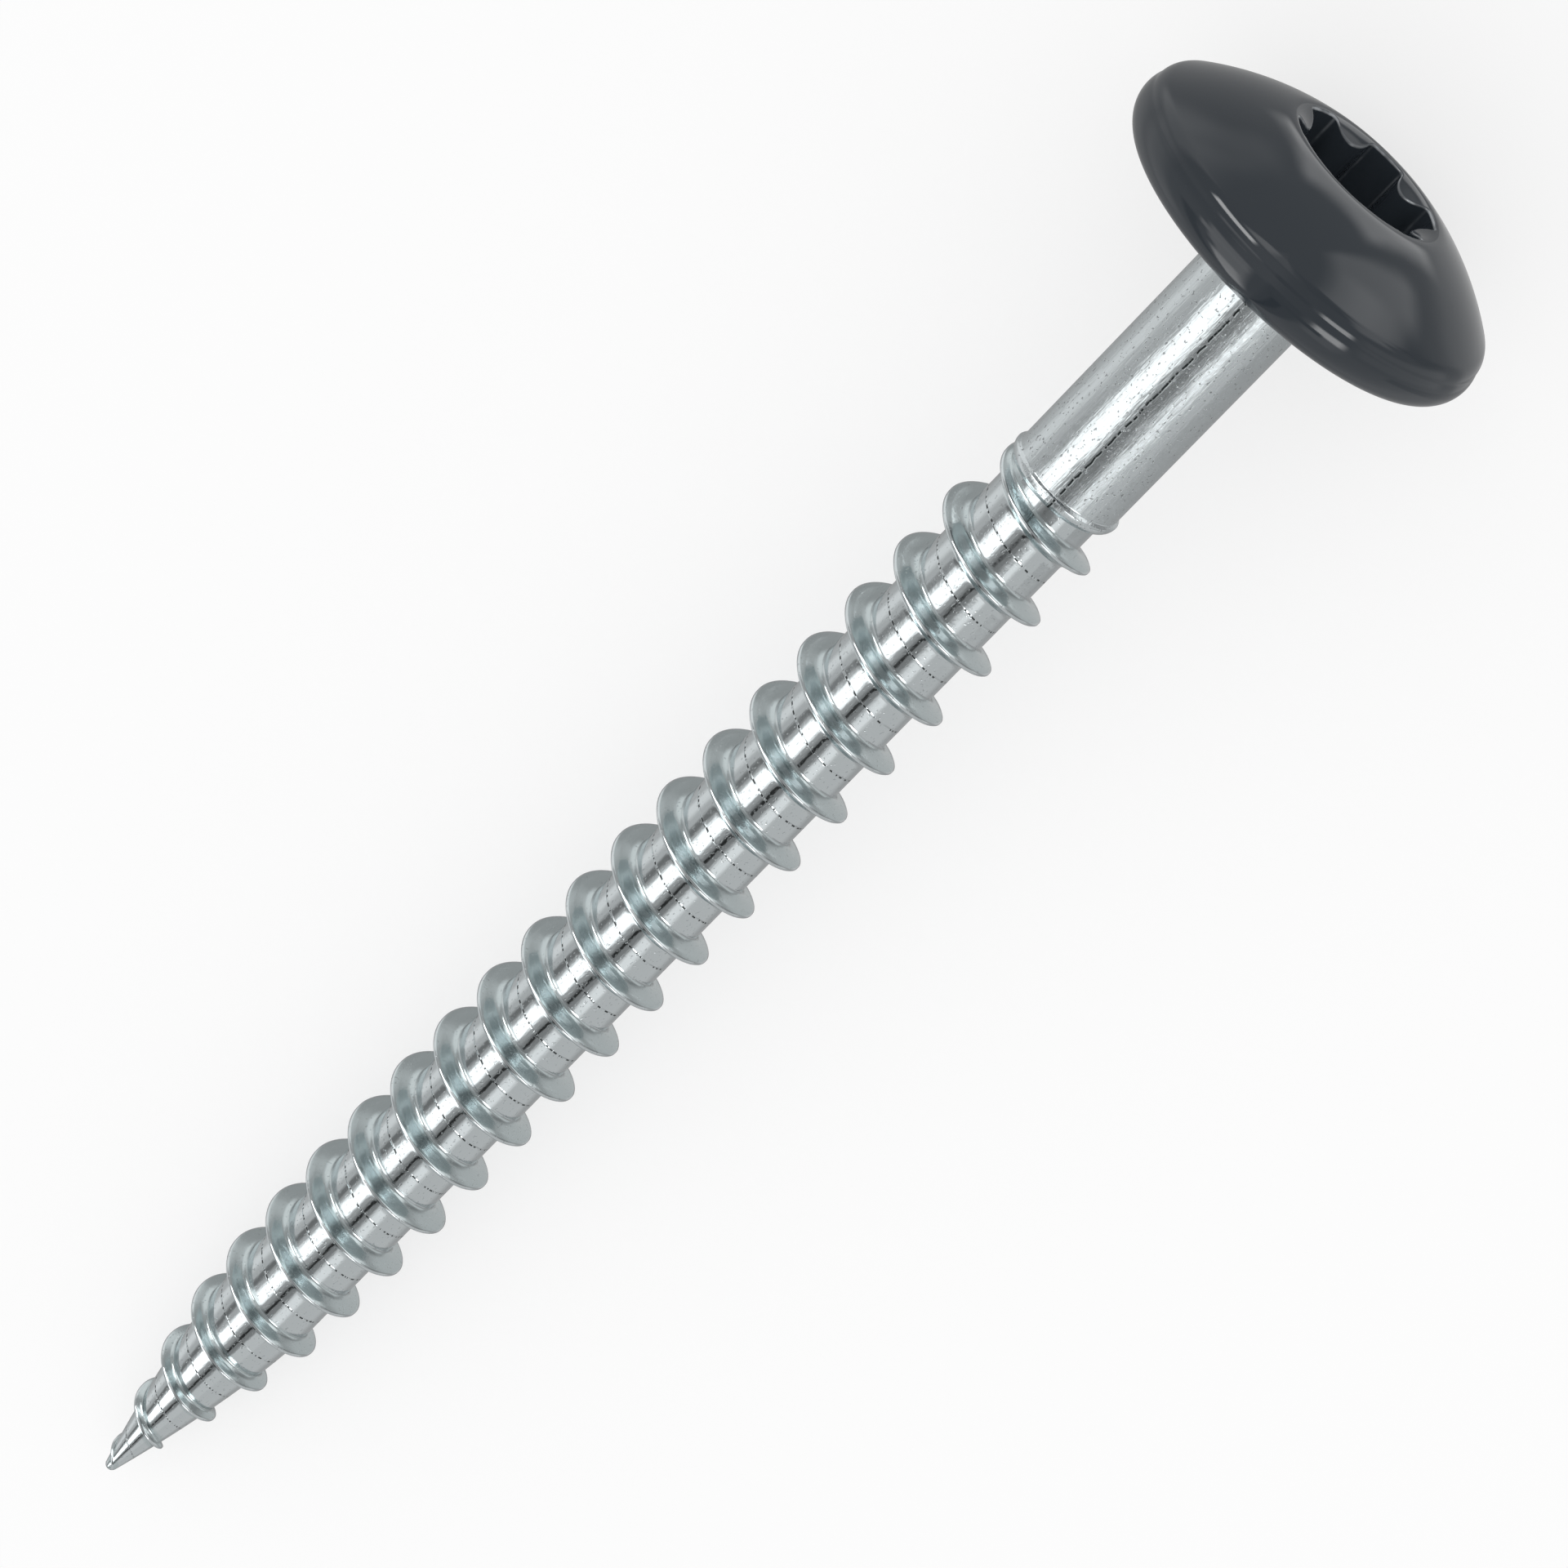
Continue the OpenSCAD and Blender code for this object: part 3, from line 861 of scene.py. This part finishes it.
def photo_camera():
    """The photograph's view. Its aim and distance are in millimetres from the screw's point and axis."""
    towards = math.sin(VIEW_TILT) * axis + math.cos(VIEW_TILT) * upright
    axis_seen = math.cos(VIEW_TILT) * axis - math.sin(VIEW_TILT) * upright
    side_seen = -across
    right = math.cos(AXIS_IMAGE_ANGLE) * axis_seen + math.sin(AXIS_IMAGE_ANGLE) * side_seen
    up = math.sin(AXIS_IMAGE_ANGLE) * axis_seen - math.cos(AXIS_IMAGE_ANGLE) * side_seen
    sight = point_place + MM * (SIGHT_PLACE * axis + SIGHT_SIDE * side_seen)
    data = bpy.data.cameras.new("photo_camera")
    data.sensor_width = SENSOR_WIDTH
    data.lens = SENSOR_WIDTH * FOCAL_PIXELS / PICTURE_PIXELS
    data.clip_start = CLIP_START
    data.clip_end = CLIP_END
    camera = bpy.data.objects.new("photo_camera", data)
    turned = Matrix((right, up, towards)).transposed().to_4x4()
    camera.matrix_world = Matrix.Translation(sight + SIGHT_DISTANCE * MM * towards) @ turned
    bpy.context.scene.collection.objects.link(camera)
    bpy.context.scene.camera = camera


# Studio
WHITE = (1, 1, 1, 1)
FLOOR_SIZE = 1.2
FLOOR_COLOR = (0.97, 0.97, 0.97, 1)
BACKGROUND = 0.985
SHADOW_SHARE = 0.36
WORLD_LEVEL = 1.0
SURROUNDINGS_LEVEL = 0.38

# Soft panels that reflections see, each with its place along the screw's axis (degrees from the
# plane square to it, towards the head) and around it (degrees from the top, towards the right),
# how soft its edges are, and how bright it is. A later panel lies over the earlier ones. The notes
# say where the camera sees a group of panels most.
PANELS = [
    # Dome, shoulder and the thread's flanks towards the head
    {"along": (5, 58), "around": (-138, -85), "soft": 18, "level": 0.85},
    {"along": (-10, 44), "around": (-190, -142), "soft": 14, "level": 0.38},
    {"along": (46, 60), "around": (-152, -126), "soft": 12, "level": 0.6},
    {"along": (-20, 32), "around": (142, 190), "soft": 12, "level": 0.55},
    {"along": (44, 76), "around": (78, 150), "soft": 9, "level": 1.15},
    {"along": (56, 70), "around": (90, 130), "soft": 12, "level": 1.6},
    {"along": (32, 54), "around": (60, 88), "soft": 12, "level": 1.2},
    {"along": (22, 48), "around": (106, 132), "soft": 12, "level": 0.25},
    {"along": (-5, 15), "around": (62, 125), "soft": 12, "level": 0.65},
    # Left and right sides of the core and shank
    {"along": (-90, 5), "around": (-140, -40), "soft": 30, "level": 0.5},
    {"along": (-60, 5), "around": (-112, -84), "soft": 18, "level": 0.78},
    {"along": (-90, -8), "around": (40, 130), "soft": 30, "level": 0.55},
    {"along": (-22, -12), "around": (90, 185), "soft": 4, "level": 0.36},
    # Middle of the shoulder, and gleams on the thread's flanks
    {"along": (0, 45), "around": (-24, 8), "soft": 14, "level": 0.55},
    {"along": (50, 85), "around": (-26, 12), "soft": 12, "level": 0.8},
    {"along": (50, 80), "around": (-34, -8), "soft": 12, "level": 1.7},
    # Bright crescent on the shoulder, then the band round the recess's mouth
    {"along": (24, 38), "around": (-53, -18), "soft": 6, "level": 7.5},
    {"along": (30, 58), "around": (160, 190), "soft": 8, "level": 1.7},
    {"along": (30, 58), "around": (-190, -162), "soft": 8, "level": 1.7},
    # Left of the middle of the core, shank and point: a dark edge and bright bands
    {"along": (-70, -22), "around": (-64, -48), "soft": 9, "level": 0.18},
    {"along": (-75, 0), "around": (-39, -8), "soft": 8, "level": 1.5},
    {"along": (-22, -12), "around": (-46, -9), "soft": 5, "level": 1.6},
    {"along": (-75, -34), "around": (-50, -34), "soft": 8, "level": 0.45},
    {"along": (-76, -46), "around": (-40, -14), "soft": 10, "level": 2.9},
    # Right of the middle of the core, shank and point, then a gleam on the rim
    {"along": (-90, 2), "around": (32, 56), "soft": 12, "level": 0.9},
    {"along": (-90, -36), "around": (28, 60), "soft": 8, "level": 0.6},
    {"along": (-13, 4), "around": (35, 54), "soft": 7, "level": 5.0},
    # Dark bands in the core, shoulder, flanks and shank
    {"along": (-90, 6), "around": (3, 27), "soft": 6, "level": 0.24},
    {"along": (6, 46), "around": (13, 42), "soft": 14, "level": 0.33},
    {"along": (44, 76), "around": (22, 64), "soft": 14, "level": 0.26},
    {"along": (-22, -12), "around": (6, 42), "soft": 4, "level": 0.2},
    {"along": (-90, -22), "around": (9, 16), "soft": 3, "level": 0.02},
]


def studio_world():
    """Even white light on everything, and the panels for what shiny surfaces reflect."""
    world = bpy.data.worlds.new("studio")
    bpy.context.scene.world = world
    world.use_nodes = True
    tree = world.node_tree
    ray = tree.nodes.new("ShaderNodeLightPath")
    place = tree.nodes.new("ShaderNodeTexCoord")

    def towards(direction):
        dot = tree.nodes.new("ShaderNodeVectorMath")
        dot.operation = "DOT_PRODUCT"
        dot.inputs[1].default_value = direction
        tree.links.new(place.outputs["Generated"], dot.inputs[0])
        return Value(tree, dot.outputs["Value"])

    along = towards(axis).calculate("ARCSINE") * (180 / math.pi)
    around = towards(-across).calculate("ARCTAN2", towards(upright)) * (180 / math.pi)

    def between(value, limits, soft):
        low, high = limits
        rising = above(value, low, soft)
        falling = ((high - value) / soft + 0.5).smooth_step()
        return rising * falling

    reflected = SURROUNDINGS_LEVEL
    for panel in PANELS:
        share_along = between(along, panel["along"], panel["soft"])
        share_around = between(around, panel["around"], panel["soft"])
        reflected = mixed(reflected, panel["level"], share_along * share_around)

    def light(node, level):
        node.inputs["Color"].default_value = WHITE
        put(tree, level, node.inputs["Strength"])
        return node.outputs[0]

    shown = light(tree.nodes["Background"], WORLD_LEVEL)
    for ray_kind, level in (("Is Camera Ray", BACKGROUND), ("Is Glossy Ray", reflected)):
        mix = tree.nodes.new("ShaderNodeMixShader")
        tree.links.new(ray.outputs[ray_kind], mix.inputs[0])
        tree.links.new(shown, mix.inputs[1])
        tree.links.new(light(tree.nodes.new("ShaderNodeBackground"), level), mix.inputs[2])
        shown = mix.outputs[0]
    tree.links.new(shown, tree.nodes["World Output"].inputs["Surface"])
    world.cycles.sampling_method = "NONE"


def studio_floor():
    """The floor takes the shadow; reflections look through it, to the panels."""
    mesh = bpy.data.meshes.new("floor")
    half = FLOOR_SIZE / 2
    corners = [(-half, -half, 0), (half, -half, 0), (half, half, 0), (-half, half, 0)]
    mesh.from_pydata(corners, [], [(0, 1, 2, 3)])
    floor = bpy.data.objects.new("floor", mesh)
    bpy.context.scene.collection.objects.link(floor)
    material, tree, shader = new_material("floor_white")
    shader.inputs["Base Color"].default_value = FLOOR_COLOR
    shader.inputs["Roughness"].default_value = 1.0
    shader.inputs["Specular IOR Level"].default_value = 0.0
    ray = tree.nodes.new("ShaderNodeLightPath")
    white = tree.nodes.new("ShaderNodeEmission")
    white.inputs["Strength"].default_value = BACKGROUND
    clear = tree.nodes.new("ShaderNodeBsdfTransparent")
    pale = tree.nodes.new("ShaderNodeMixShader")
    put(tree, Value(tree, ray.outputs["Is Camera Ray"]) * (1 - SHADOW_SHARE), pale.inputs[0])
    tree.links.new(shader.outputs[0], pale.inputs[1])
    tree.links.new(white.outputs[0], pale.inputs[2])
    mix = tree.nodes.new("ShaderNodeMixShader")
    tree.links.new(ray.outputs["Is Glossy Ray"], mix.inputs[0])
    tree.links.new(pale.outputs[0], mix.inputs[1])
    tree.links.new(clear.outputs[0], mix.inputs[2])
    tree.links.new(mix.outputs[0], tree.nodes["Material Output"].inputs["Surface"])
    mesh.materials.append(material)


zinc = zinc_plating()
paint = head_paint()
screw = threaded_shank(zinc)
head = painted_head(paint)
for piece in (screw, head):
    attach(piece, "root")
    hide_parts("facade_screw")

photo_camera()
studio_world()
studio_floor()
bpy.context.scene.view_settings.view_transform = "Standard"
